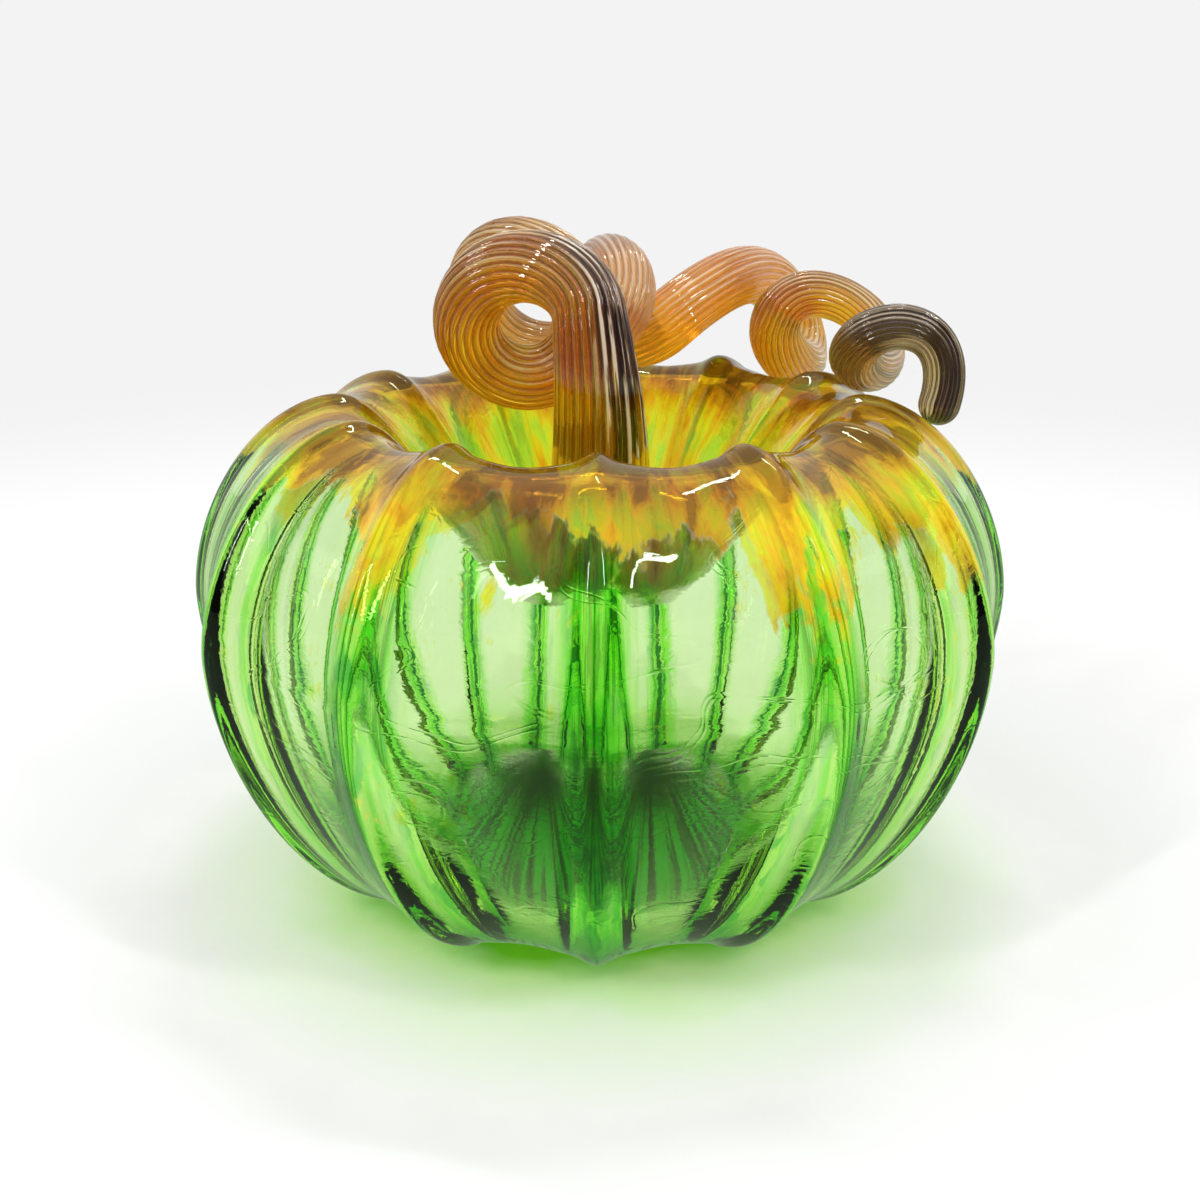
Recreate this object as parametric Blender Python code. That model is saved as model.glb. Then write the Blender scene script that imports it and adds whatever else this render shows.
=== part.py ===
"""A blown glass pumpkin: a ribbed hollow body, and a solid glass stem coiled into a tendril.

Metres, +Z up. The origin is the middle of the foot ring, on the surface that the pumpkin stands on. The
view from the front looks along +Y, with one rib of the body facing it and the tendril falling to +X.
"""

import math

import bmesh
import bpy
from mathutils import Color, Vector
from mathutils.bvhtree import BVHTree

# Body, measured over the crests of the ribs
RIB_COUNT = 12
CREST_RADIUS = 0.0825
EQUATOR_HEIGHT = 0.0583
RIM_HEIGHT = 0.0992
RIM_RADIUS = 0.0517
FOOT_RADIUS = 0.0441
LOWER_ROUNDNESS = 1.71
UPPER_ROUNDNESS = 1.78

# Well on top of the body, and the blowpipe opening at its bottom
WELL_FLOOR_HEIGHT = 0.0645
WELL_FLOOR_RADIUS = 0.0120
WELL_FLOOR_HANDLE = (0.0310, 0.0690)
WELL_LIP_WIDTH = 0.0122
OPENING_RADIUS = 0.0055

# How far the middle of a panel lies below the crests beside it, and the width of a crest
RIB_DEPTH_AT_RIM = 0.0032
RIB_DEPTH_AT_EQUATOR = 0.0050
RIB_DEPTH_AT_FOOT = 0.0025
CREST_HALF_ANGLE = math.radians(3.0)
CREST_SHARE = 0.5

# Glass
PANEL_WALL = 0.0035
BASE_THICKNESS = 0.0060

# Underside: the flat ring that it stands on, and the punt inside the ring
FOOT_RING_WIDTH = 0.0050
PUNT_HEIGHT = 0.0160
PUNT_TIP_ROUNDING = 0.0030

# Clearance between the two pieces of glass
CONTACT_GAP = 0.0003

# Upright of the stem: (height above the well floor, rod radius), from the root up
ROOT_SIDE_CLEARANCE = 0.0008
ROOT_RADII = ((0.004, 0.0118), (0.014, 0.0104), (0.028, 0.0093), (0.040, 0.0083))
ROOT_STRAIGHT = 0.020
UPRIGHT_LEAD = 0.025

# Tendril, one row for each half turn from the top of the upright to past the tip: the coil's axis in
# plan (x, y) and its height above the rim, the coil's half width and half height, the heading of
# the axis in plan in degrees from +X, and the rod's radius.
HALF_TURNS = (
    (-0.012, -0.011, 0.017, 0.0105, 0.0095, 80, 0.0072),
    (-0.015, -0.002, 0.014, 0.0110, 0.0110, 78, 0.0067),
    (-0.013, 0.007, 0.015, 0.0110, 0.0120, 67, 0.0065),
    (-0.017, 0.013, 0.015, 0.0105, 0.0115, 47, 0.0062),
    (0.000, 0.024, 0.0143, 0.0095, 0.0080, 30, 0.0064),
    (0.003, 0.029, 0.0125, 0.0090, 0.0062, 20, 0.0064),
    (0.012, 0.038, 0.0087, 0.0105, 0.0070, 17, 0.0066),
    (0.048, 0.058, 0.0040, 0.0110, 0.0105, 18, 0.0064),
    (0.0400, 0.052, 0.0043, 0.0103, 0.0083, -10, 0.0057),
    (0.0552, 0.032, 0.0045, 0.0085, 0.0066, -35, 0.0048),
    (0.0585, 0.018, 0.0042, 0.0088, 0.0049, -52, 0.0051),
    (0.0612, 0.004, 0.0032, 0.0090, 0.0054, -58, 0.0043),
    (0.073, 0.014, -0.0145, 0.0088, 0.0070, -60, 0.0045),
)
TIP_HALF_TURNS = 11.3
FIRST_LAID_HALF_TURN = 3.0
LAID_HALF_TURN = 5.0

# Fineness of the meshes
CREST_POINTS = (-15.0, -7.5, -3.0, 0.0, 3.0, 7.5)
WELL_ROWS = 8
SHOULDER_ROWS = 9
LOWER_ROWS = 10
PUNT_ROWS = 5
ROD_SIDES = 16
UPRIGHT_RINGS = 12
RINGS_PER_HALF_TURN = 11
TIP_RINGS = 3
SETTLING_STEPS = 8

BODY_COLOUR = (0.16, 0.62, 0.10)
STEM_COLOUR = (0.72, 0.27, 0.03)
GLASS_ROUGHNESS = 0.04
GLASS_IOR = 1.5


def clear_scene():
    for obj in list(bpy.data.objects):
        bpy.data.objects.remove(obj, do_unlink=True)


def glass(name, colour):
    """A clear coloured glass."""
    material = bpy.data.materials.new(name)
    material.use_nodes = True
    shader = material.node_tree.nodes["Principled BSDF"]
    shader.inputs["Base Color"].default_value = (*Color(colour), 1.0)
    shader.inputs["Roughness"].default_value = GLASS_ROUGHNESS
    shader.inputs["Metallic"].default_value = 0.0
    shader.inputs["IOR"].default_value = GLASS_IOR
    shader.inputs["Transmission Weight"].default_value = 1.0
    material.diffuse_color = (*Color(colour), 1.0)
    return material


def mix(first, last, share):
    return first + (last - first) * share


def smooth_step(first, last, value):
    share = min(max((value - first) / (last - first), 0.0), 1.0)
    return share * share * (3 - 2 * share)


def quarter(centre, reach, roundness, angles, rows):
    """Points (r, z) on a quarter of a superellipse, between two angles in degrees from the vertical."""
    points = []
    for row in range(rows):
        angle = math.radians(mix(angles[0], angles[1], row / (rows - 1)))
        side = max(math.sin(angle), 0.0) ** (2 / roundness)
        rise = max(math.cos(angle), 0.0) ** (2 / roundness)
        points.append((centre[0] + reach[0] * side, centre[1] + reach[1] * rise))
    return points


def curve_point(handles, t):
    """The point at the share t of a smooth curve with two end points and two handles between them."""
    weights = ((1 - t) ** 3, 3 * t * (1 - t) ** 2, 3 * t * t * (1 - t), t**3)
    return sum((Vector(handle) * weight for handle, weight in zip(handles, weights)), Vector((0, 0, 0)))


def crest_profile():
    """Rows (r, z, rib depth) over the outside, from the well floor over the rim to the foot."""
    well_handles = (
        (WELL_FLOOR_RADIUS, WELL_FLOOR_HEIGHT, 0),
        (*WELL_FLOOR_HANDLE, 0),
        (RIM_RADIUS - WELL_LIP_WIDTH, RIM_HEIGHT, 0),
        (RIM_RADIUS, RIM_HEIGHT, 0),
    )
    well = [curve_point(well_handles, row / (WELL_ROWS - 1))[:2] for row in range(WELL_ROWS)]
    shoulder = quarter(
        (RIM_RADIUS, EQUATOR_HEIGHT),
        (CREST_RADIUS - RIM_RADIUS, RIM_HEIGHT - EQUATOR_HEIGHT),
        UPPER_ROUNDNESS,
        (0, 90),
        SHOULDER_ROWS,
    )
    lower = quarter(
        (FOOT_RADIUS, EQUATOR_HEIGHT),
        (CREST_RADIUS - FOOT_RADIUS, -EQUATOR_HEIGHT),
        LOWER_ROUNDNESS,
        (90, 0),
        LOWER_ROWS,
    )
    rows = []
    for points, first, last in (
        (well, 0.0, RIB_DEPTH_AT_RIM),
        (shoulder[1:], RIB_DEPTH_AT_RIM, RIB_DEPTH_AT_EQUATOR),
        (lower[1:], RIB_DEPTH_AT_EQUATOR, RIB_DEPTH_AT_FOOT),
    ):
        for row, (r, z) in enumerate(points):
            rows.append((r, z, mix(first, last, row / (len(points) - 1))))
    return rows


def outward(rows, index):
    """The direction (r, z) that points out of the glass at a row of the crest profile."""
    before = rows[max(index - 1, 0)]
    after = rows[min(index + 1, len(rows) - 1)]
    along_r = after[0] - before[0]
    along_z = after[1] - before[1]
    length = math.hypot(along_r, along_z)
    return -along_z / length, along_r / length


def punt_height(r, radius):
    """The underside's height inside the foot ring: a cone with a rounded tip."""
    slope = math.hypot(r, PUNT_TIP_ROUNDING) - PUNT_TIP_ROUNDING
    return PUNT_HEIGHT * (1 - slope / (math.hypot(radius, PUNT_TIP_ROUNDING) - PUNT_TIP_ROUNDING))


def relief(angle):
    """How deep the surface lies between the crests, from 0 on a crest to 1 in the middle of a panel."""
    half_pitch = math.pi / RIB_COUNT
    away = abs((angle + half_pitch) % (2 * half_pitch) - half_pitch)
    crest = 1 - math.exp(-((away / CREST_HALF_ANGLE) ** 2))
    panel = math.sin(0.5 * math.pi * away / half_pitch) ** 2
    return CREST_SHARE * crest + (1 - CREST_SHARE) * panel


def rib_angles():
    pitch = 2 * math.pi / RIB_COUNT
    offsets = [pitch * point / 30.0 for point in CREST_POINTS]
    return [rib * pitch + offset for rib in range(RIB_COUNT) for offset in offsets]


def ring_point(angle, r, z):
    """A point at this angle from the front, which is -Y, turning towards +X."""
    return Vector((r * math.sin(angle), -r * math.cos(angle), z))


def outer_rings(angles):
    """The outside, from the edge of the opening to the last ring of the punt."""
    rows = crest_profile()
    rings = [[ring_point(a, OPENING_RADIUS, WELL_FLOOR_HEIGHT) for a in angles]]
    for index, (r, z, depth) in enumerate(rows):
        out_r, out_z = outward(rows, index)
        if index in (0, len(rows) - 1):
            out_r, out_z = math.copysign(1.0, out_r if index else -1.0), 0.0
        ring = []
        for angle in angles:
            sunk = depth * relief(angle)
            ring.append(ring_point(angle, r - out_r * sunk, z - out_z * sunk))
        rings.append(ring)
    punt_radius = FOOT_RADIUS - RIB_DEPTH_AT_FOOT - FOOT_RING_WIDTH
    for row in range(PUNT_ROWS):
        r = punt_radius * (1 - row / PUNT_ROWS)
        rings.append([ring_point(a, r, punt_height(r, punt_radius)) for a in angles])
    return rings, Vector((0, 0, PUNT_HEIGHT))


def inner_rings(angles):
    """The round inside, from the lower edge of the opening to the last ring over the punt."""
    rows = crest_profile()
    floor = WELL_FLOOR_HEIGHT - BASE_THICKNESS
    profile = [(OPENING_RADIUS, floor), (WELL_FLOOR_RADIUS, floor)]
    for index in range(2, len(rows), 2):
        r, z, depth = rows[index]
        out_r, out_z = outward(rows, index)
        wall = depth + mix(PANEL_WALL, BASE_THICKNESS, smooth_step(EQUATOR_HEIGHT, 0.0, z))
        profile.append((r - out_r * wall, z - out_z * wall))
    punt_radius = FOOT_RADIUS - RIB_DEPTH_AT_FOOT - FOOT_RING_WIDTH
    profile = [point for point in profile if point[0] < punt_radius or point[1] > BASE_THICKNESS]
    for row in range(PUNT_ROWS):
        r = punt_radius * (1 - row / PUNT_ROWS)
        profile.append((r, punt_height(r, punt_radius) + BASE_THICKNESS))
    rings = [[ring_point(a, r, z) for a in angles] for r, z in profile]
    return rings, Vector((0, 0, PUNT_HEIGHT + BASE_THICKNESS))


def add_rings(mesh, rings):
    return [[mesh.verts.new(point) for point in ring] for ring in rings]


def bridge(mesh, first, second):
    count = len(first)
    for k in range(count):
        nxt = (k + 1) % count
        mesh.faces.new((first[k], first[nxt], second[nxt], second[k]))


def fan(mesh, ring, tip):
    for k in range(len(ring)):
        mesh.faces.new((ring[k], ring[(k + 1) % len(ring)], tip))


def finished_object(mesh, name, material):
    """Turns the faces out, and makes the object, shaded smooth."""
    bmesh.ops.recalc_face_normals(mesh, faces=mesh.faces)
    data = bpy.data.meshes.new(name)
    mesh.to_mesh(data)
    mesh.free()
    data.materials.append(material)
    data.shade_smooth()
    obj = bpy.data.objects.new(name, data)
    bpy.context.scene.collection.objects.link(obj)
    return obj


def make_body():
    """The blown shell: ribbed outside, round inside, open at the bottom of the well."""
    mesh = bmesh.new()
    angles = rib_angles()
    outer_points, outer_tip = outer_rings(angles)
    inner_points, inner_tip = inner_rings(angles)
    outer = add_rings(mesh, outer_points)
    inner = add_rings(mesh, inner_points)
    for rings, tip in ((outer, outer_tip), (inner, inner_tip)):
        for first, second in zip(rings, rings[1:]):
            bridge(mesh, first, second)
        fan(mesh, rings[-1], mesh.verts.new(tip))
    bridge(mesh, inner[0], outer[0])
    return finished_object(mesh, "body_shell", glass("green_glass", BODY_COLOUR))


def station(half_turns):
    """The row of HALF_TURNS at any place between two rows, on a smooth curve through them."""
    last = len(HALF_TURNS) - 1
    index = min(int(half_turns), last - 1)
    t = half_turns - index
    before, start, end, after = (HALF_TURNS[min(max(index + k, 0), last)] for k in (-1, 0, 1, 2))
    values = []
    for a, b, c, d in zip(before, start, end, after):
        if index == 0:
            a = 2 * b - c
        if index == last - 1:
            d = 2 * c - b
        values.append(
            b + 0.5 * t * (c - a + t * (2 * a - 5 * b + 4 * c - d + t * (3 * (b - c) + d - a)))
        )
    return values


def coil_point(half_turns):
    """A point of the rod's centre line, and the rod's radius there."""
    x, y, rise, half_width, half_height, heading, radius = station(half_turns)
    phase = math.pi * half_turns
    heading = math.radians(heading)
    across = half_width * math.cos(phase)
    centre = Vector((x, y, RIM_HEIGHT + rise + half_height * math.sin(phase)))
    return centre + Vector((math.sin(heading), -math.cos(heading), 0)) * across, radius


def upright_route():
    """Centre line and radii from the root in the well up to where the tendril starts."""
    root = Vector((0, 0, WELL_FLOOR_HEIGHT + CONTACT_GAP))
    top, top_radius = coil_point(0)
    direction = (coil_point(0.02)[0] - top).normalized()
    handles = (root, root + Vector((0, 0, ROOT_STRAIGHT)), top - direction * UPRIGHT_LEAD, top)
    heights = [(CONTACT_GAP, WELL_FLOOR_RADIUS - ROOT_SIDE_CLEARANCE), *ROOT_RADII]
    heights.append((top.z - WELL_FLOOR_HEIGHT, top_radius))
    route = []
    for ring in range(UPRIGHT_RINGS):
        point = curve_point(handles, ring / UPRIGHT_RINGS)
        route.append((point, radius_at(heights, point.z - WELL_FLOOR_HEIGHT)))
    return route


def radius_at(heights, height):
    for (low, low_radius), (high, high_radius) in zip(heights, heights[1:]):
        if height <= high:
            return mix(low_radius, high_radius, max(height - low, 0.0) / (high - low))
    return heights[-1][1]


def tendril_route():
    """Rows (half turns, centre, radius) along the coil, up to the tip."""
    count = round(TIP_HALF_TURNS * RINGS_PER_HALF_TURN)
    route = []
    for ring in range(count + 1):
        half_turns = TIP_HALF_TURNS * ring / count
        centre, radius = coil_point(half_turns)
        route.append((half_turns, centre, radius))
    return route


def laid_share(half_turns):
    return smooth_step(FIRST_LAID_HALF_TURN, LAID_HALF_TURN, half_turns)


def settled(route, body):
    """The tendril moved up or down, until its far loops lie on the body's shoulder."""
    data = body.data
    corners = [vertex.co.copy() for vertex in data.vertices]
    surface = BVHTree.FromPolygons(corners, [tuple(face.vertices) for face in data.polygons])
    lift = 0.0
    for _ in range(SETTLING_STEPS):
        gaps = []
        for half_turns, centre, radius in route:
            if half_turns < LAID_HALF_TURN:
                continue
            place = centre + Vector((0, 0, lift))
            nearest, normal, _, distance = surface.find_nearest(place)
            side = 1.0 if (place - nearest).dot(normal) > 0 else -1.0
            gaps.append(side * distance - radius)
        lift += CONTACT_GAP - min(gaps)
    return [(c + Vector((0, 0, lift * laid_share(h))), radius) for h, c, radius in route]


def rod_rings(route):
    """Rings of the rod, turned as little as possible from one to the next."""
    rings = []
    side = Vector((1, 0, 0))
    for index, (centre, radius) in enumerate(route):
        before = route[max(index - 1, 0)][0]
        after = route[min(index + 1, len(route) - 1)][0]
        along = Vector((0, 0, 1)) if index == 0 else (after - before).normalized()
        side = (side - along * side.dot(along)).normalized()
        across = along.cross(side)
        ring = []
        for k in range(ROD_SIDES):
            angle = 2 * math.pi * k / ROD_SIDES
            ring.append(centre + (side * math.cos(angle) + across * math.sin(angle)) * radius)
        rings.append(ring)
    return rings


def rounded_tip(route):
    """Rows that close the rod's end in a dome."""
    end, radius = route[-1]
    along = (end - route[-2][0]).normalized()
    rows = []
    for ring in range(1, TIP_RINGS + 1):
        angle = 0.5 * math.pi * ring / (TIP_RINGS + 1)
        rows.append((end + along * radius * math.sin(angle), radius * math.cos(angle)))
    return rows, end + along * radius


def make_stem(body):
    """The solid stem: its root in the well, the upright, and the tendril laid on the shoulder."""
    tendril = settled(tendril_route(), body)
    dome, tip = rounded_tip(tendril)
    mesh = bmesh.new()
    rings = add_rings(mesh, rod_rings(upright_route() + tendril + dome))
    for first, second in zip(rings, rings[1:]):
        bridge(mesh, first, second)
    mesh.faces.new(rings[0])
    fan(mesh, rings[-1], mesh.verts.new(tip))
    return finished_object(mesh, "stem", glass("amber_glass", STEM_COLOUR))


clear_scene()
make_stem(make_body())
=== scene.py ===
import math

import bpy
import numpy as np
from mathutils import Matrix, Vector
from mathutils.bvhtree import BVHTree


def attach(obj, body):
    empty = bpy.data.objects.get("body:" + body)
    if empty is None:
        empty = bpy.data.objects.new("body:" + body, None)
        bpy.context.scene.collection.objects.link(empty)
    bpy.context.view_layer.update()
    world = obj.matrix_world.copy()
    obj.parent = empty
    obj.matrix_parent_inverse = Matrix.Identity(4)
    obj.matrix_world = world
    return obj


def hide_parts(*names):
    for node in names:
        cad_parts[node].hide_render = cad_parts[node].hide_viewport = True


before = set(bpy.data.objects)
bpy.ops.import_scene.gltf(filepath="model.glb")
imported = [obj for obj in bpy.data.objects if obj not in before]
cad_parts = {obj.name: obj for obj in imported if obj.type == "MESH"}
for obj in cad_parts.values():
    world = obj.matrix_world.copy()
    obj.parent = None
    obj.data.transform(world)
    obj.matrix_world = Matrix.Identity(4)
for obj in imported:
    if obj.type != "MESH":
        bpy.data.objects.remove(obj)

# Body: the crest line of a rib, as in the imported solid, in metres
RIB_COUNT = 12
CREST_RADIUS = 0.0825
EQUATOR_HEIGHT = 0.0583
RIM_HEIGHT = 0.0992
RIM_RADIUS = 0.0517
FOOT_RADIUS = 0.0441
LOWER_ROUNDNESS = 1.71
UPPER_ROUNDNESS = 1.78
WELL_FLOOR_HEIGHT = 0.0645
WELL_FLOOR_RADIUS = 0.0120
WELL_FLOOR_HANDLE = (0.0310, 0.0690)
WELL_LIP_WIDTH = 0.0122
OPENING_RADIUS = 0.0055
RIB_DEPTH_AT_RIM = 0.0032
RIB_DEPTH_AT_EQUATOR = 0.0050
RIB_DEPTH_AT_FOOT = 0.0025
CREST_HALF_ANGLE = math.radians(3.0)
CREST_SHARE = 0.5
PANEL_WALL = 0.0035
BASE_THICKNESS = 0.0060
FOOT_RING_WIDTH = 0.0050
PUNT_HEIGHT = 0.0160
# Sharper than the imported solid's 3 mm, because this tip shows through the glass
PUNT_TIP_ROUNDING = 0.0006

# Distance along a crest from the rim to the foot
FOOT_WAY = 0.1290

# Fineness of the body's mesh
COLUMNS_PER_RIB = 24
EVEN_COLUMN_SHARE = 0.45
WELL_ROWS = 34
SHOULDER_ROWS = 36
LOWER_ROWS = 36
PUNT_ROWS = 20
# The inner skin leaves out the first rows, which would run into the opening
SKIPPED_INNER_ROWS = 6

# Stem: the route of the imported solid, with ribs drawn along the rod
CONTACT_GAP = 0.0003
ROOT_SIDE_CLEARANCE = 0.0008
# Height above the well's floor, and the rod's radius there
ROOT_RADII = ((0.004, 0.0118), (0.014, 0.0104), (0.028, 0.0093), (0.040, 0.0083))
ROOT_STRAIGHT = 0.020
UPRIGHT_LEAD = 0.025
# For each half turn: the loop's centre x, y and rise above the rim, its half width and half height, its
# heading in degrees, and the rod's radius
HALF_TURNS = (
    (-0.012, -0.011, 0.017, 0.0105, 0.0095, 80, 0.0072),
    (-0.015, -0.002, 0.014, 0.0110, 0.0110, 78, 0.0067),
    (-0.013, 0.007, 0.015, 0.0110, 0.0120, 67, 0.0065),
    (-0.017, 0.013, 0.015, 0.0105, 0.0115, 47, 0.0062),
    (0.000, 0.024, 0.0143, 0.0095, 0.0080, 30, 0.0064),
    (0.003, 0.029, 0.0125, 0.0090, 0.0062, 20, 0.0064),
    (0.012, 0.038, 0.0087, 0.0105, 0.0070, 17, 0.0066),
    (0.048, 0.058, 0.0040, 0.0110, 0.0105, 18, 0.0064),
    (0.0400, 0.052, 0.0043, 0.0103, 0.0083, -10, 0.0057),
    (0.0552, 0.032, 0.0045, 0.0085, 0.0066, -35, 0.0048),
    (0.0585, 0.018, 0.0042, 0.0088, 0.0049, -52, 0.0051),
    (0.0612, 0.004, 0.0032, 0.0090, 0.0054, -58, 0.0043),
    (0.073, 0.014, -0.0145, 0.0088, 0.0070, -60, 0.0045),
)
TIP_HALF_TURNS = 11.3
FIRST_LAID_HALF_TURN = 3.0
LAID_HALF_TURN = 5.0
SETTLING_STEPS = 8
ROD_RIBS = 26
ROD_RIB_DEPTH = 0.075
ROD_CREST_SHARE = 0.984
POINTS_PER_ROD_RIB = 6
ROD_TWIST = 0.35
UPRIGHT_RINGS = 36
RINGS_PER_HALF_TURN = 22
TIP_RINGS = 7

# Photograph's camera, in metres, in radians and in the photo's own pixels
CAMERA_DISTANCE = 0.3201
CAMERA_HEIGHT = 0.1611
CAMERA_SWING = 0.0086
CAMERA_PITCH = 0.3158
FRAME_PIXELS = 1200
FOCAL_PIXELS = 1643.77
CENTRE_OFFSET_PIXELS = -0.95
SENSOR_WIDTH = 36.0
NEAREST_SEEN = 0.01

# Colours of the body's glass
PANEL_TINT = (0.89, 1.0, 0.82)
DEEP_GREEN = (0.14, 0.80, 0.03)
PALE_GREEN = (0.50, 0.97, 0.18)
BLOTCH_GREEN = (0.03, 0.46, 0.03)
PUNT_SHADE = (0.001, 0.06, 0.02)
PUNT_GREEN = (0.10, 0.94, 0.05)
CHIP_HUES = (
    (0.29, (0.50, 0.20, 0.005)), (0.35, (0.91, 0.41, 0.005)), (0.41, (0.99, 0.56, 0.01)),
    (0.48, (0.99, 0.74, 0.01)), (0.55, (0.99, 0.90, 0.02)), (0.64, (0.55, 0.93, 0.05)),
)
CHIP_STREAK = (0.58, 0.27, 0.005)
FLECK_YELLOW = (0.97, 0.84, 0.10)
# Painted shade: the dark line behind each crest, where the rib bends light away
RIB_SHADE_LINE = (0.002, 0.055, 0.012)
BODY_SHEEN = (0.40, 0.55, 0.36, 1.0)
BODY_ABSORBS = ((0.84, 0.99, 0.45), 60.0)

# Relief of the body's glass, in micrometres
WAVES = 80.0
CREASES = 12.0
PLEATS = 500.0
RIPPLES_IN_WELL, RIPPLES_OUTSIDE = 130.0, 18.0
JAGS_IN_WELL, JAGS_OUTSIDE = 30.0, 3.0
MICROMETRE = 1e-6

# Colours of the stem's glass
AMBER_DEEP, AMBER_PALE = (0.99, 0.50, 0.01), (0.995, 0.76, 0.06)
AMBER_BAND = (0.96, 0.34, 0.01)
# Painted sheen: the grey that the lustre shows on the rod's upward faces, where it mirrors the bright
# overhead
TOP_SHEEN_GREY = (0.55, 0.44, 0.34)
GOLD_DEEP, GOLD_PALE = (0.80, 0.38, 0.01), (0.98, 0.66, 0.02)
# Painted shade: darker brown in the furrows between the rod's ribs
FURROW_SHADE_BROWN = (0.36, 0.09, 0.003)
PALE_LOOP = (0.88, 0.66, 0.54)
ORANGE_LOOP = (0.97, 0.40, 0.01)
SMOKY_TIP = (0.50, 0.50, 0.36)
# Near-black of the dark strands at the tip, and painted reflection of the dark room on the right side
# of the upright
STRAND_BLACK_AND_DARK_REFLECTION = (0.020, 0.005, 0.001)
# Painted highlight: cream on the crests of the rod's ribs
CREST_HIGHLIGHT_CREAM = (0.93, 0.80, 0.62)
STEM_ABSORBS = ((0.995, 0.70, 0.04), 40.0)
GLASS_IOR = 1.5

# Half turns run up to 12, and these shares of that are where a colour comes in and goes out again
HALF_TURNS_IN_ALL = 12
PALE_STOPS = ((0.27, 0.0), (0.32, 1.0), (0.40, 1.0), (0.44, 0.0))
ORANGE_STOPS = ((0.44, 0.0), (0.48, 1.0), (0.56, 1.0), (0.60, 0.0))
SMOKY_STOPS = ((0.74, 0.0), (0.84, 1.0))
DARK_STOPS = ((0.76, 0.0), (0.80, 0.7), (0.90, 1.0))

# The table, and a painted green caustic for the light that the glass throws on it, by the distance from
# the axis
PALE_TABLE = (0.91, 0.915, 0.91)
TABLE_STOPS_PER_METRE = 5.0
TABLE_STOPS = (
    (0.26, (0.16, 0.55, 0.02)), (0.31, (0.52, 0.76, 0.34)),
    (0.38, (0.74, 0.85, 0.66)), (0.50, PALE_TABLE),
)
DIM_TABLE = (0.30, 0.42, 0.26, 1.0)
TABLE_RADIUS = 6.0
TABLE_DROP = 0.0002

# The studio: levels of light, which the two rooms give by how far up a ray points
BACKGROUND = 0.896
LIGHT_LEVEL = 0.84
MIRRORED_ROOM = ((0.0, 0.20), (0.10, 0.20), (0.22, 0.14), (0.55, 0.12), (0.72, 1.0), (1.0, 1.0))
ROOM_THROUGH_GLASS = ((0.0, 1.0), (0.14, 1.0), (0.28, 0.70), (0.55, 0.65), (0.72, 1.0), (1.0, 1.0))
MIRRORED_BACK_WALL = 0.85
# Upright bands at both sides: where each starts, where it is full, and its level
SIDE_BANDS = ((0.87, 0.89, 1.0), (0.92, 0.94, 0.10))
FRONT_THROUGH_GLASS = 0.50
LAMPS_AIM = Vector((0, 0, 0.05))
# Name, place, size and power
SOFTBOXES = (
    ("softbox_left", (-0.55, -0.55, 0.75), (0.03, 0.30), 1.8),
    ("softbox_right", (0.60, -0.45, 0.80), (0.03, 0.30), 1.8),
    ("softbox_side", (-0.85, -0.25, 0.42), (0.03, 0.30), 1.0),
    ("softbox_top", (0.10, 0.30, 0.95), (0.30, 0.04), 1.4),
)
LIGHT_BOUNCES = 20


def mix(first, last, share):
    return first + (last - first) * share


def smooth_step(first, last, value):
    share = np.clip((value - first) / (last - first), 0.0, 1.0)
    return share * share * (3 - 2 * share)


def quarter(centre, reach, roundness, first, last, rows):
    """Points (r, z) on a quarter of a superellipse, between two angles in degrees from the vertical."""
    angle = np.radians(np.linspace(first, last, rows))
    side = np.maximum(np.sin(angle), 0.0) ** (2 / roundness)
    rise = np.maximum(np.cos(angle), 0.0) ** (2 / roundness)
    return np.stack([centre[0] + reach[0] * side, centre[1] + reach[1] * rise], axis=1)


def crest_profile():
    """Rows (r, z, rib depth, distance outward from the rim), from the well floor to the foot."""
    t = np.linspace(0, 1, WELL_ROWS)[:, None]
    floor = np.array((WELL_FLOOR_RADIUS, WELL_FLOOR_HEIGHT))
    rim = np.array((RIM_RADIUS, RIM_HEIGHT))
    lip = rim - (WELL_LIP_WIDTH, 0)
    well = (1 - t) ** 3 * floor + 3 * t * (1 - t) ** 2 * np.array(WELL_FLOOR_HANDLE)
    well = well + 3 * t * t * (1 - t) * lip + t**3 * rim
    shoulder = quarter(
        (RIM_RADIUS, EQUATOR_HEIGHT),
        (CREST_RADIUS - RIM_RADIUS, RIM_HEIGHT - EQUATOR_HEIGHT),
        UPPER_ROUNDNESS, 0, 90, SHOULDER_ROWS,
    )
    lower = quarter(
        (FOOT_RADIUS, EQUATOR_HEIGHT),
        (CREST_RADIUS - FOOT_RADIUS, -EQUATOR_HEIGHT),
        LOWER_ROUNDNESS, 90, 0, LOWER_ROWS,
    )
    points = np.concatenate([well, shoulder[1:], lower[1:]])
    depth = np.concatenate([
        np.linspace(0.0, RIB_DEPTH_AT_RIM, WELL_ROWS),
        np.linspace(RIB_DEPTH_AT_RIM, RIB_DEPTH_AT_EQUATOR, SHOULDER_ROWS)[1:],
        np.linspace(RIB_DEPTH_AT_EQUATOR, RIB_DEPTH_AT_FOOT, LOWER_ROWS)[1:],
    ])
    steps = np.hypot(*np.diff(points, axis=0).T)
    run = np.concatenate([[0.0], np.cumsum(steps)])
    return points[:, 0], points[:, 1], depth, run - run[WELL_ROWS - 1]


def outward(r, z):
    """Unit directions (r, z) that point out of the glass, along a profile."""
    along_r, along_z = np.gradient(r), np.gradient(z)
    length = np.hypot(along_r, along_z)
    return -along_z / length, along_r / length


def punt_height(r, radius):
    """Height of the cone pushed up into the base, at each distance r from the axis."""
    slope = np.hypot(np.stack([r, np.full_like(r, radius)]), PUNT_TIP_ROUNDING) - PUNT_TIP_ROUNDING
    return PUNT_HEIGHT * (1 - slope[0] / slope[1])


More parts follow.
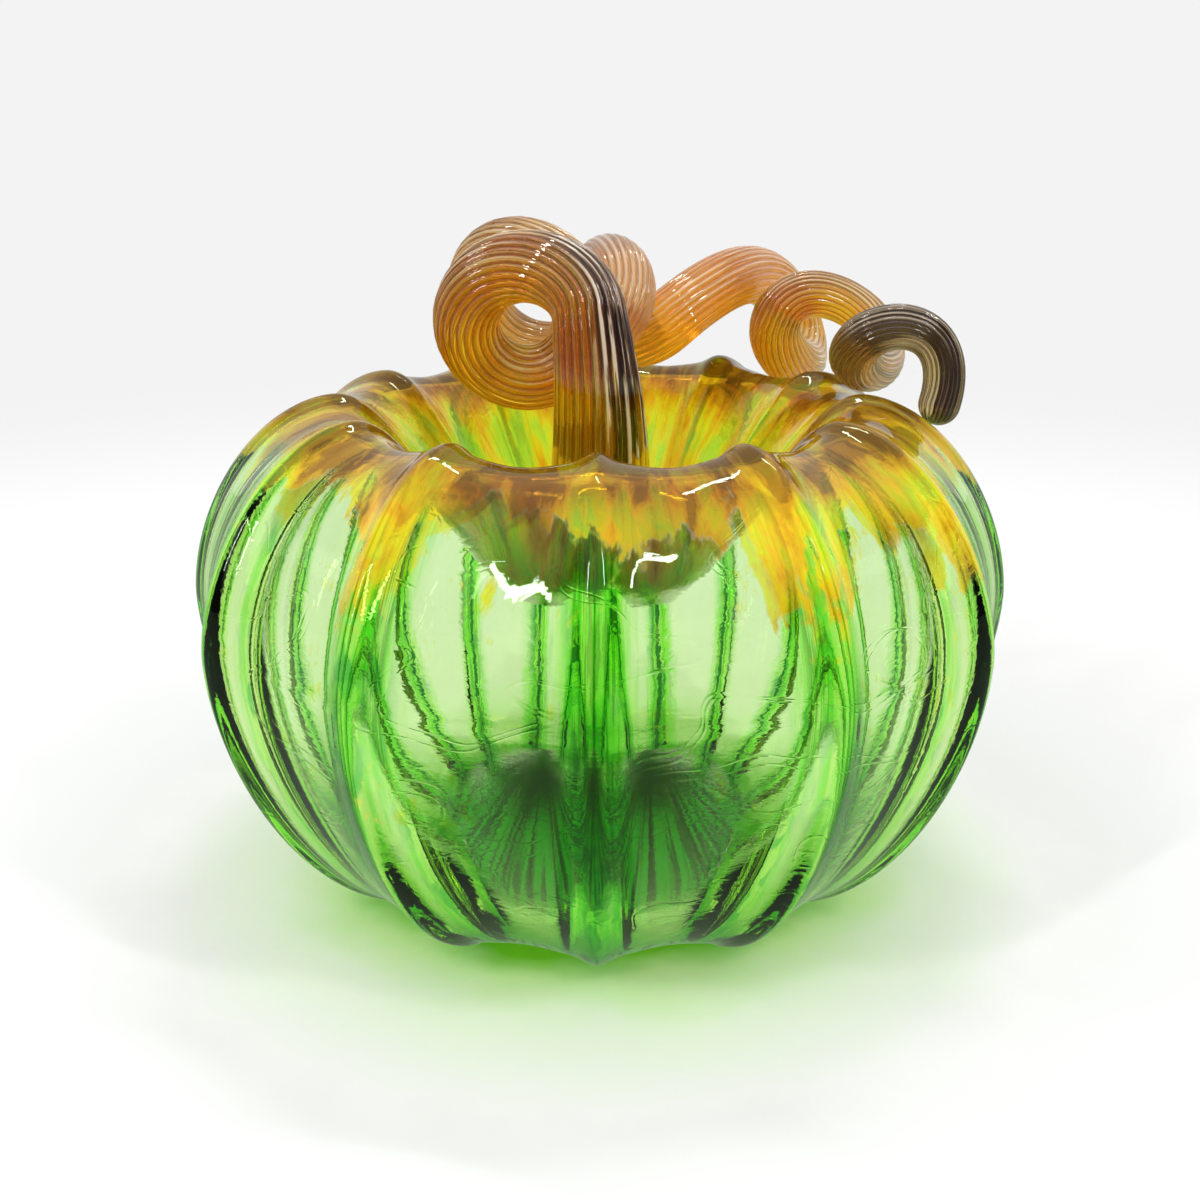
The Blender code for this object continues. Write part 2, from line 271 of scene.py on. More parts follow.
def relief(away):
    """How deep the surface lies at an angle away from a crest: 0 on the crest, 1 amid a panel."""
    half_pitch = math.pi / RIB_COUNT
    crest = 1 - np.exp(-((away / CREST_HALF_ANGLE) ** 2))
    panel = np.sin(0.5 * math.pi * away / half_pitch) ** 2
    return CREST_SHARE * crest + (1 - CREST_SHARE) * panel


def columns():
    """Angles round the body, closer together on the crests, and each one's angle off its crest."""
    half_pitch = math.pi / RIB_COUNT
    share = np.linspace(-1, 1, COLUMNS_PER_RIB, endpoint=False)
    offset = half_pitch * (EVEN_COLUMN_SHARE * share + (1 - EVEN_COLUMN_SHARE) * share**3)
    crest = 2 * half_pitch * np.arange(RIB_COUNT)
    return (crest[:, None] + offset).ravel(), np.tile(offset, RIB_COUNT)


def turned(angles, r, z):
    """Grid of points at these angles from the front, which is -Y, turning towards +X."""
    r = np.broadcast_to(r, (len(r), len(angles)))
    z = np.broadcast_to(z, (len(z), len(angles)))
    return np.stack([r * np.sin(angles), -r * np.cos(angles), z], axis=-1)


def body_grids():
    """The outer and the inner skin: each is points, and each row's distance outward from the rim."""
    angles, offset = columns()
    r, z, depth, run = crest_profile()
    out_r, out_z = outward(r, z)
    out_r[0], out_z[0], out_r[-1], out_z[-1] = -1.0, 0.0, 1.0, 0.0
    sunk = depth[:, None] * relief(np.abs(offset))
    ribbed = turned(angles, r[:, None] - out_r[:, None] * sunk, z[:, None] - out_z[:, None] * sunk)
    lip = turned(angles, np.array([[OPENING_RADIUS]]), np.array([[WELL_FLOOR_HEIGHT]]))
    punt_radius = FOOT_RADIUS - RIB_DEPTH_AT_FOOT - FOOT_RING_WIDTH
    punt_r = punt_radius * np.linspace(1, 0, PUNT_ROWS, endpoint=False)
    punt_z = punt_height(punt_r, punt_radius)
    outer = np.concatenate([lip, ribbed, turned(angles, punt_r[:, None], punt_z[:, None])])
    lip_run = run[0] - WELL_FLOOR_RADIUS + OPENING_RADIUS
    outer_run = np.concatenate([[lip_run], run, run[-1] + r[-1] - punt_r])

    floor = WELL_FLOOR_HEIGHT - BASE_THICKNESS
    wall = depth + mix(PANEL_WALL, BASE_THICKNESS, smooth_step(EQUATOR_HEIGHT, 0.0, z))
    inner_r, inner_z = r - out_r * wall, z - out_z * wall
    kept = np.arange(len(r)) >= SKIPPED_INNER_ROWS
    kept &= (inner_r < punt_radius) | (inner_z > BASE_THICKNESS)
    inner_r = np.concatenate([[OPENING_RADIUS, WELL_FLOOR_RADIUS], inner_r[kept], punt_r])
    inner_z = np.concatenate([[floor, floor], inner_z[kept], punt_z + BASE_THICKNESS])
    inner_run = np.concatenate([outer_run[:2], run[kept], outer_run[-PUNT_ROWS:]])
    inner = turned(angles, inner_r[:, None], inner_z[:, None])
    return (outer, outer_run), (inner, inner_run)


def ring_faces(first_row, rows, count):
    """Quads between the rows of a closed grid whose points start at first_row * count."""
    row = np.arange(first_row, first_row + rows - 1)[:, None] * count
    k = np.arange(count)
    after = (k + 1) % count
    quads = np.stack([row + k, row + after, row + count + after, row + count + k], axis=-1)
    return quads.reshape(-1, 4)


def add_object(name, points, faces, attributes, material):
    """A smooth mesh object with named values on its points."""
    data = bpy.data.meshes.new(name)
    data.from_pydata(points.tolist(), [], [[int(k) for k in face] for face in faces])
    for label, values in attributes.items():
        kind, key = ("FLOAT_VECTOR", "vector") if values.ndim == 2 else ("FLOAT", "value")
        layer = data.attributes.new(label, kind, "POINT")
        layer.data.foreach_set(key, values.astype(np.float32).ravel())
    data.materials.append(material)
    data.shade_smooth()
    data.validate()
    obj = bpy.data.objects.new(name, data)
    bpy.context.scene.collection.objects.link(obj)
    return obj


def make_body(material):
    """The blown shell: ribbed outside, round inside, open at the bottom of the well."""
    (outer, outer_run), (inner, inner_run) = body_grids()
    angles, offset = columns()
    count = len(angles)
    rows = len(outer), len(inner)
    tips = np.array([[0, 0, PUNT_HEIGHT], [0, 0, PUNT_HEIGHT + BASE_THICKNESS]])
    points = np.concatenate([outer.reshape(-1, 3), inner.reshape(-1, 3), tips])
    run = np.concatenate([
        np.repeat(outer_run, count), np.repeat(inner_run, count), [outer_run[-1]] * len(tips),
    ])
    wrap = np.zeros((len(points), 3))
    round_the_body = np.stack([np.sin(angles), -np.cos(angles)], axis=1) * CREST_RADIUS
    wrap[:-len(tips), :2] = np.tile(round_the_body, (sum(rows), 1))
    wrap[:, 2] = run
    angle_off = np.concatenate([np.tile(np.abs(offset), sum(rows)), np.zeros(len(tips))])
    off_crest = angle_off * np.hypot(points[:, 0], points[:, 1])
    inside_skin = np.zeros(len(points))
    inside_skin[rows[0] * count:-len(tips)] = 1.0
    marks = {"wrap": wrap, "off_crest": off_crest, "inside_skin": inside_skin}

    k = np.arange(count)
    after = (k + 1) % count
    inner_start = rows[0] * count
    neck = np.stack([k, after, inner_start + after, inner_start + k], axis=1)
    outside = ring_faces(0, rows[0], count)[:, ::-1]
    faces = [*outside, *ring_faces(rows[0], rows[1], count), *neck]
    last_outer = inner_start - count
    faces += [(last_outer + b, last_outer + a, len(points) - 2) for a, b in zip(k, after)]
    last_inner = (sum(rows) - 1) * count
    faces += [(last_inner + a, last_inner + b, len(points) - 1) for a, b in zip(k, after)]
    return add_object("blown_body", points, faces, marks, material)


def station(half_turns):
    """The row of HALF_TURNS at any place between two rows, on a smooth curve through them."""
    last = len(HALF_TURNS) - 1
    index = min(int(half_turns), last - 1)
    t = half_turns - index
    a, b, c, d = (np.array(HALF_TURNS[min(max(index + k, 0), last)]) for k in (-1, 0, 1, 2))
    if index == 0:
        a = 2 * b - c
    if index == last - 1:
        d = 2 * c - b
    return b + 0.5 * t * (c - a + t * (2 * a - 5 * b + 4 * c - d + t * (3 * (b - c) + d - a)))


def coil_point(half_turns):
    """A point of the rod's centre line, and the rod's radius there."""
    x, y, rise, half_width, half_height, heading, radius = station(half_turns)
    phase = math.pi * half_turns
    heading = math.radians(heading)
    across = half_width * math.cos(phase)
    centre = Vector((x, y, RIM_HEIGHT + rise + half_height * math.sin(phase)))
    return centre + Vector((math.sin(heading), -math.cos(heading), 0)) * across, radius


def radius_at(heights, height):
    levels, radii = zip(*heights)
    return float(np.interp(height, levels, radii))


def upright_route():
    """Rows (half turns, centre, radius) from the root in the well to where the tendril starts."""
    root = Vector((0, 0, WELL_FLOOR_HEIGHT + CONTACT_GAP))
    top, top_radius = coil_point(0)
    direction = (coil_point(0.02)[0] - top).normalized()
    handles = (root, root + Vector((0, 0, ROOT_STRAIGHT)), top - direction * UPRIGHT_LEAD, top)
    heights = [(CONTACT_GAP, WELL_FLOOR_RADIUS - ROOT_SIDE_CLEARANCE), *ROOT_RADII]
    heights.append((top.z - WELL_FLOOR_HEIGHT, top_radius))
    route = []
    for ring in range(UPRIGHT_RINGS):
        t = ring / UPRIGHT_RINGS
        weights = ((1 - t) ** 3, 3 * t * (1 - t) ** 2, 3 * t * t * (1 - t), t**3)
        point = sum((handle * weight for handle, weight in zip(handles, weights)), Vector())
        route.append((t - 1, point, radius_at(heights, point.z - WELL_FLOOR_HEIGHT)))
    return route


def tendril_route():
    """Rows (half turns, centre, radius) along the loops."""
    count = round(TIP_HALF_TURNS * RINGS_PER_HALF_TURN)
    return [(h, *coil_point(h)) for h in np.linspace(0, TIP_HALF_TURNS, count + 1)]


def settled(route):
    """The tendril moved up or down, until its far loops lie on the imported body's shoulder."""
    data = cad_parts["body_shell"].data
    corners = [vertex.co.copy() for vertex in data.vertices]
    surface = BVHTree.FromPolygons(corners, [tuple(face.vertices) for face in data.polygons])
    lift = 0.0
    for _ in range(SETTLING_STEPS):
        gaps = []
        for half_turns, centre, radius in route:
            if half_turns < LAID_HALF_TURN:
                continue
            place = centre + Vector((0, 0, lift))
            nearest, normal, _, distance = surface.find_nearest(place)
            side = 1.0 if (place - nearest).dot(normal) > 0 else -1.0
            gaps.append(side * distance - radius)
        lift += CONTACT_GAP - min(gaps)
    laid = [smooth_step(FIRST_LAID_HALF_TURN, LAID_HALF_TURN, h) for h, _, _ in route]
    return [(h, c + Vector((0, 0, lift * share)), radius) for (h, c, radius), share in zip(route, laid)]


def rounded_tip(route):
    """Rows that close the rod's end in a dome, and the point that ends it."""
    half_turns, end, radius = route[-1]
    along = (end - route[-2][1]).normalized()
    rows = []
    for ring in range(1, TIP_RINGS + 1):
        angle = 0.5 * math.pi * ring / (TIP_RINGS + 1)
        rows.append((half_turns, end + along * radius * math.sin(angle), radius * math.cos(angle)))
    return rows, end + along * radius


def make_stem(material):
    """The drawn rod: fine ribs along it, turning slowly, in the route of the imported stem."""
    tendril = settled(tendril_route())
    dome, tip = rounded_tip(tendril)
    route = upright_route() + tendril + dome
    count = ROD_RIBS * POINTS_PER_ROD_RIB
    angle = 2 * math.pi * np.arange(count) / count
    furrow = 1 - np.abs(np.cos(0.5 * ROD_RIBS * angle))
    ribbed = ROD_CREST_SHARE - ROD_RIB_DEPTH * furrow
    points, flow, along_rod, facing = [], [], [], []
    side = Vector((1, 0, 0))
    run = 0.0
    for index, (half_turns, centre, radius) in enumerate(route):
        before = route[max(index - 1, 0)][1]
        after = route[min(index + 1, len(route) - 1)][1]
        along = Vector((0, 0, 1)) if index == 0 else (after - before).normalized()
        side = (side - along * side.dot(along)).normalized()
        across = along.cross(side)
        run += (centre - before).length
        turn = angle + ROD_TWIST * half_turns
        ring = np.outer(np.cos(turn), side) + np.outer(np.sin(turn), across)
        points.append(np.array(centre) + ring * (radius * ribbed)[:, None])
        facing.append(ring)
        round_the_rod = radius * np.cos(angle), radius * np.sin(angle)
        flow.append(np.stack([*round_the_rod, np.full(count, run)], axis=1))
        along_rod.append(np.full(count, half_turns))
    rows = len(points)
    marks = {
        "flow": np.concatenate([*flow, [[0, 0, run]]]),
        "half_turn": np.concatenate([*along_rod, [TIP_HALF_TURNS]]),
        "facing": np.concatenate([*facing, [along]]),
        "furrow": np.append(np.tile(furrow, rows), 0.0),
    }
    k = np.arange(count)
    last = (rows - 1) * count
    faces = [*ring_faces(0, rows, count), k[::-1]]
    faces += [(last + a, last + b, rows * count) for a, b in zip(k, (k + 1) % count)]
    return add_object("drawn_stem", np.concatenate([*points, [tip]]), faces, marks, material)


class Graph:
    """Short ways to add nodes to the tree of a material or a world."""

    def __init__(self, tree):
        self.tree = tree

    def node(self, kind, inputs=(), **settings):
        made = self.tree.nodes.new(kind)
        for key, value in settings.items():
            setattr(made, key, value)
        for key, value in dict(inputs).items():
            self.set(made.inputs[key], value)
        return made

    def set(self, socket, value):
        if isinstance(value, bpy.types.NodeSocket):
            self.tree.links.new(value, socket)
        else:
            socket.default_value = value

    def math(self, operation, *values, clamp=False):
        inputs = enumerate(values)
        return self.node("ShaderNodeMath", inputs, operation=operation, use_clamp=clamp).outputs[0]

    def times(self, first, *others):
        for other in others:
            first = self.math("MULTIPLY", first, other)
        return first

    def step(self, value, low, high, first=0.0, last=1.0):
        """A smooth step from first, below low, to last, above high."""
        inputs = {"Value": value, "From Min": low, "From Max": high, "To Min": first, "To Max": last}
        made = self.node("ShaderNodeMapRange", inputs, interpolation_type="SMOOTHSTEP")
        return made.outputs["Result"]

    def mix(self, share, first, last):
        """Colours are tuples, levels of grey are numbers, and both can come from a socket."""
        inputs = {0: share}
        for key, value in ((6, first), (7, last)):
            if isinstance(value, float):
                value = (value,) * 3
            inputs[key] = (*value, 1.0) if isinstance(value, tuple) else value
        return self.node("ShaderNodeMix", inputs, data_type="RGBA").outputs[2]

    def ramp(self, value, stops):
        """Colours or levels of grey along a value, each with its place from 0 to 1."""
        made = self.node("ShaderNodeValToRGB", {"Fac": value})
        elements = made.color_ramp.elements
        while len(elements) < len(stops):
            elements.new(0.5)
        for element, (place, colour) in zip(elements, stops):
            element.position = place
            element.color = (*((colour,) * 3 if isinstance(colour, float) else colour), 1.0)
        return made.outputs["Color"]


class Shader(Graph):
    """A material with a Principled surface."""

    def __init__(self, name):
        self.material = bpy.data.materials.new(name)
        self.material.use_nodes = True
        super().__init__(self.material.node_tree)
        self.surface = self.tree.nodes["Principled BSDF"]
        self.output = self.tree.nodes["Material Output"]

    def surface_is(self, values):
        for key, value in values.items():
            self.set(self.surface.inputs[key], value)

    def attribute(self, name, output="Fac"):
        return self.node("ShaderNodeAttribute", attribute_name=name).outputs[output]

    def split(self, vector):
        return self.node("ShaderNodeSeparateXYZ", {0: vector}).outputs

    def stretched(self, vector, factors):
        inputs = {0: vector, 1: factors}
        return self.node("ShaderNodeVectorMath", inputs, operation="MULTIPLY").outputs[0]

    def warped(self, vector, scale, reach):
        """The vector, moved to and fro by a smooth noise."""
        pushed = self.node("ShaderNodeTexNoise", {"Vector": vector, "Scale": scale}).outputs["Color"]
        inputs = {0: pushed, 1: (reach, reach, reach), 2: vector}
        return self.node("ShaderNodeVectorMath", inputs, operation="MULTIPLY_ADD").outputs[0]

    def noise(self, vector, scale, detail=2.0, roughness=0.5, distortion=0.0):
        inputs = {"Vector": vector, "Scale": scale, "Detail": detail, "Roughness": roughness}
        inputs["Distortion"] = distortion
        return self.node("ShaderNodeTexNoise", inputs).outputs["Fac"]

    def bump(self, height, distance):
        inputs = {"Height": height, "Distance": distance, "Strength": 1.0}
        return self.node("ShaderNodeBump", inputs).outputs["Normal"]

    def absorb(self, colour, density):
        inputs = {"Color": (*colour, 1.0), "Density": density}
        volume = self.node("ShaderNodeVolumeAbsorption", inputs)
        self.tree.links.new(volume.outputs[0], self.output.inputs["Volume"])


class BodyGlass(Shader):
    """Clear green glass with chips of colour, thickest over the shoulders and on the ribs."""

    def __init__(self):
        super().__init__("green_glass_chips")
        self.wrap = self.attribute("wrap", "Vector")
        self.off_crest = self.attribute("off_crest")
        self.inside = self.attribute("inside_skin")
        places = self.split(self.wrap)
        self.depth, self.rim_way = places["Y"], places["Z"]
        self.streaks = self.noise(self.drawn_out(0.05), 900.0)
        self.rays = self.noise(self.drawn_out(0.10), 170.0)
        tint, clear = self.chipped(self.greens())
        self.surface_is({
            "Base Color": self.lined(tint),
            "Transmission Weight": clear,
            "Normal": self.bump(self.relief_height(), MICROMETRE),
            "Roughness": 0.0,
            "Specular Tint": BODY_SHEEN,
            "IOR": GLASS_IOR,
        })
        self.absorb(*BODY_ABSORBS)

    def drawn_out(self, share, across=1.0):
        """The place on the wall, with marks drawn out along the ribs where the share is small."""
        return self.stretched(self.wrap, (across, across, share))

    def greens(self):
        """Streaks and blotches over the ribs, nearly clear panels, and rays on the punt."""
        blotches = self.noise(self.drawn_out(0.30), 260.0, 2.0, 0.5, 0.5)
        tint = self.mix(self.step(self.streaks, 0.38, 0.62), DEEP_GREEN, PALE_GREEN)
        tint = self.mix(self.step(blotches, 0.52, 0.62), tint, BLOTCH_GREEN)
        edge = self.math("ADD", self.off_crest, self.times(blotches, 0.006))
        tint = self.mix(self.step(edge, 0.0050, 0.0108, 0.97, 0.0), PANEL_TINT, tint)
        between = self.times(
            self.step(self.rays, 0.41, 0.49), self.step(self.rim_way, 0.152, 0.165, 1.0, 0.0),
        )
        punt = self.mix(between, PUNT_SHADE, PUNT_GREEN)
        on_punt = self.step(self.rim_way, FOOT_WAY - 0.001, FOOT_WAY + 0.005, 0.0, 0.97)
        return self.mix(on_punt, tint, punt)

    def chipped(self, tint):
        """The tint under the chips and flecks of colour, and how clear the glass is with them."""
        drawn = self.stretched(self.warped(self.wrap, 60.0, 0.010), (1.0, 1.0, 0.38))
        patches = self.noise(drawn, 110.0, 4.0, 0.62)
        kinds = self.noise(drawn, 150.0, 4.0, 0.62)
        # The chips reach further down on the ribs than amid the panels
        reach = self.times(
            self.step(self.off_crest, 0.002, 0.012, 0.052, 0.029),
            self.step(self.noise(self.wrap, 14.0, 1.0), 0.35, 0.65, 0.75, 1.35),
        )
        amount = self.step(self.math("DIVIDE", self.rim_way, reach), 0.05, 1.0, 1.0, 0.0)
        limit = self.math("SUBTRACT", 0.76, self.times(amount, 0.54))
        chips = self.step(self.math("SUBTRACT", patches, limit), -0.03, 0.03)

        # Lower kinds are brown and higher ones yellow: browner at the rim, yellower in the well
        from_rim = self.math("ABSOLUTE", self.rim_way)
        browner = self.step(from_rim, 0.006, 0.022, 0.17, 0.0)
        in_well = self.step(self.rim_way, -0.016, -0.004, 0.03, 0.0)
        kinds = self.math("ADD", self.math("SUBTRACT", kinds, browner), in_well)
        uneven = self.step(self.noise(self.wrap, 60.0, 1.0), 0.30, 0.70, -0.07, 0.09)
        kinds = self.math("ADD", kinds, uneven)
        hues = self.ramp(kinds, CHIP_HUES)
        hues = self.mix(self.step(self.streaks, 0.38, 0.48, 0.25, 0.0), hues, CHIP_STREAK)

        fine = self.stretched(self.warped(self.wrap, 90.0, 0.008), (1.0, 1.0, 0.45))
        flecks = self.times(
            self.step(self.noise(fine, 330.0, 3.0, 0.6), 0.62, 0.66),
            self.step(self.rim_way, 0.075, 0.100, 1.0, 0.0),
            self.step(self.noise(self.wrap, 45.0), 0.48, 0.56),
        )
        tint = self.mix(self.times(flecks, 0.9), tint, FLECK_YELLOW)
        tint = self.mix(self.times(chips, 0.98), tint, hues)
        solid = self.times(
            chips,
            self.step(kinds, 0.40, 0.54, 0.70, 0.48),
            self.step(from_rim, 0.008, 0.022, 0.35, 1.0),
            self.step(amount, 0.25, 0.85, 0.15, 1.0),
            self.math("SUBTRACT", 1.0, self.inside),
        )
        return tint, self.math("SUBTRACT", 1.0, solid)

    def lined(self, tint):
        """The tint with painted shade: the dark line that runs down behind each crest."""
        wobble = self.noise(self.wrap, 700.0)
        ragged = self.math("MULTIPLY_ADD", wobble, 0.0008, self.off_crest)
        core = self.times(
            self.step(ragged, 0.0010, 0.0014, 1.0, 0.0),
            self.step(self.noise(self.wrap, 120.0), 0.36, 0.46, 0.8, 1.0),
            self.step(self.depth, -0.030, 0.010),
        )
        threads = self.noise(self.drawn_out(0.03), 2000.0)
        beside = self.times(
            self.step(self.off_crest, 0.0018, 0.0030, 1.0, 0.0), self.step(threads, 0.48, 0.56), 0.6,
        )
        # Painted shade: dark line and threads on the inner skin behind each crest
        rib_shade = self.times(self.math("MAXIMUM", core, beside), self.inside)
        return self.mix(rib_shade, tint, RIB_SHADE_LINE)

    def relief_height(self):
        """Chill marks: waves and creases all over, wrinkles in the well, and pleats on the punt."""
        waves = self.noise(self.wrap, 70.0, 1.0)
        ripples = self.noise(self.drawn_out(1.6, 0.7), 300.0, 2.0, 0.5, 1.0)
        jags = self.noise(self.drawn_out(1.0, 0.3), 1400.0)
        folds = self.noise(self.drawn_out(1.0, 0.5), 60.0, 1.0)
        off_fold = self.math("ABSOLUTE", self.math("SUBTRACT", folds, 0.5))

        def deeper_in_well(inside, outside):
            return self.step(self.rim_way, -0.020, -0.006, inside, outside)

        height = self.times(waves, WAVES)
        for share, reach in (
            (ripples, deeper_in_well(RIPPLES_IN_WELL, RIPPLES_OUTSIDE)),
            (jags, deeper_in_well(JAGS_IN_WELL, JAGS_OUTSIDE)),
            (self.step(off_fold, 0.0, 0.010, 1.0, 0.0), CREASES),
            (self.rays, self.step(self.rim_way, FOOT_WAY, FOOT_WAY + 0.010, 0.0, PLEATS)),
        ):
            height = self.math("MULTIPLY_ADD", share, reach, height)
        return height


class StemGlass(Shader):
    """Amber glass: dark furrows of painted shade, cream crests of painted highlight, near-black
    strands, a painted dark reflection on the upright, and a painted grey sheen of lustre on its tops.
    """

    def __init__(self):
        super().__init__("amber_glass_lustre")
        flow = self.attribute("flow", "Vector")
        self.half_turn = self.attribute("half_turn")
        self.coil = self.times(self.half_turn, 1 / HALF_TURNS_IN_ALL)
        self.facing = self.split(self.attribute("facing", "Vector"))
        self.furrow = self.attribute("furrow")
        self.streaks = self.noise(self.stretched(flow, (1.0, 1.0, 0.05)), 700.0, 3.0, 0.6)
        self.strands = self.noise(self.stretched(flow, (1.0, 1.0, 0.02)), 420.0)
        self.bands = self.noise(self.stretched(flow, (1.0, 1.0, 0.3)), 130.0)
        # Half turns with a ragged edge, for where the lustre starts above the root
        self.ragged = self.math("MULTIPLY_ADD", self.streaks, 0.16, self.half_turn)
        # Painted sheen: grey on the rod's upward faces, where its lustre mirrors the bright overhead
        self.top_sheen = self.times(
            self.step(self.math("MULTIPLY_ADD", self.bands, 0.8, self.facing["Z"]), 0.35, 0.95),
            self.step(self.half_turn, 0.0, 0.6),
        )
        tint, crest_highlight = self.striped(self.looped(self.ambers()))
        above_root = self.step(self.ragged, -0.36, -0.33, 0.25, 0.92)
        self.surface_is({
            "Base Color": tint,
            "Roughness": 0.0,
            "IOR": GLASS_IOR,
            "Transmission Weight": self.math("MULTIPLY_ADD", crest_highlight, -0.6, above_root),
            "Coat Weight": 0.6,
            "Coat IOR": GLASS_IOR,
            "Coat Roughness": 0.0,
        })
        self.absorb(*STEM_ABSORBS)

    def ambers(self):
        """Gold at the root and amber above it, with a painted grey sheen on the tops and painted brown
        shade in the furrows.
        """
        amber = self.mix(self.step(self.streaks, 0.36, 0.62), AMBER_DEEP, AMBER_PALE)
        amber = self.mix(self.step(self.bands, 0.50, 0.70), amber, AMBER_BAND)
        amber = self.mix(self.times(self.top_sheen, 0.6), amber, TOP_SHEEN_GREY)
        golden = self.mix(self.step(self.streaks, 0.38, 0.58), GOLD_DEEP, GOLD_PALE)
        tint = self.mix(self.step(self.ragged, -0.36, -0.33), golden, amber)
        # Painted shade: the furrows between the rod's ribs are darkened to brown
        return self.mix(self.times(self.step(self.furrow, 0.25, 0.80), 0.8), tint, FURROW_SHADE_BROWN)

    def looped(self, tint):
        """Pale, orange and smoky stretches, one after another along the loops."""
        for stops, colour in (
            (PALE_STOPS, PALE_LOOP), (ORANGE_STOPS, ORANGE_LOOP), (SMOKY_STOPS, SMOKY_TIP),
        ):
            tint = self.mix(self.times(self.ramp(self.coil, stops), 0.7), tint, colour)
        return tint

    def striped(self, tint):
        """Near-black strands at the tip, a painted reflection of the dark room in near-black stripes on
        the right of the upright, and painted cream highlights on the crests by them.
        """
        # Painted reflection: near-black stripes on the right side of the upright, where it mirrors the
        # dark room
        first = self.times(
            self.step(self.ragged, -0.35, -0.33),
            self.step(self.half_turn, 0.30, 0.75, 1.0, 0.0),
            self.step(self.facing["X"], -0.15, 0.30),
        )
        dark = self.math("MAXIMUM", self.ramp(self.coil, DARK_STOPS), first)
        dark = self.times(dark, self.step(self.strands, 0.42, 0.47))
        tint = self.mix(dark, tint, STRAND_BLACK_AND_DARK_REFLECTION)
        # Painted highlight: cream on the crests by the dark stripes and on the tops, where the lustre
        # mirrors white
        crest_highlight = self.times(
            self.step(self.furrow, 0.10, 0.45, 1.0, 0.0),
            self.step(self.streaks, 0.44, 0.56),
            self.math("MAXIMUM", first, self.times(self.top_sheen, 0.6)),
        )
        return self.mix(self.times(crest_highlight, 0.9), tint, CREST_HIGHLIGHT_CREAM), crest_highlight


def make_floor():
    """A pale floor with a painted green caustic, tinted and glowing, near the foot, that fades into the
    background away from the pumpkin.
    """
    s = Shader("pale_table")
    place = s.node("ShaderNodeTexCoord").outputs["Object"]
    distance = s.node("ShaderNodeVectorMath", {0: place}, operation="LENGTH").outputs["Value"]
    ripples = s.noise(s.warped(place, 30.0, 0.01), 60.0)
    uneven = s.math("MULTIPLY_ADD", ripples, 0.016, distance)
    # Painted caustic: green tint and glow near the foot, for the light the glass throws on the table
    caustic_tint = s.ramp(s.times(uneven, TABLE_STOPS_PER_METRE), TABLE_STOPS)
    s.surface_is({
        "Base Color": caustic_tint,
        "Emission Color": caustic_tint,
        "Emission Strength": s.step(uneven, 0.055, 0.120, 0.30, 0.0),
        "Roughness": 0.6,
        "Specular IOR Level": 0.2,
    })

    def blended(share, first, last):
        made = s.node("ShaderNodeMixShader", {0: share})
        s.tree.links.new(first.outputs[0], made.inputs[1])
        s.tree.links.new(last.outputs[0], made.inputs[2])
        return made

    path = s.node("ShaderNodeLightPath").outputs
    through = s.times(path["Is Transmission Ray"], s.step(distance, 0.07, 0.18))
    paper = s.node("ShaderNodeEmission", {"Color": (BACKGROUND, BACKGROUND, BACKGROUND, 1.0)})
    faded = blended(s.math("MAXIMUM", s.step(distance, 0.25, 0.60), through), s.surface, paper)
    # Dimmer where the glass mirrors it, and in front, where the glass bends rays down to it
    near = s.times(path["Is Transmission Ray"], s.step(s.split(place)["Y"], -0.11, -0.07, 0.85, 0.0))
    mirrored = s.math("SUBTRACT", path["Is Glossy Ray"], path["Is Transmission Ray"], clamp=True)
    unlit = s.math("MAXIMUM", near, s.times(mirrored, 0.8))
    shown = blended(unlit, faded, s.node("ShaderNodeEmission", {"Color": DIM_TABLE}))
    s.tree.links.new(shown.outputs[0], s.output.inputs["Surface"])

    bpy.ops.mesh.primitive_circle_add(
        vertices=96, radius=TABLE_RADIUS, fill_type="NGON", location=(0, 0, -TABLE_DROP),
    )
    floor = bpy.context.object
    floor.name = "table_top"
    floor.data.materials.append(s.material)


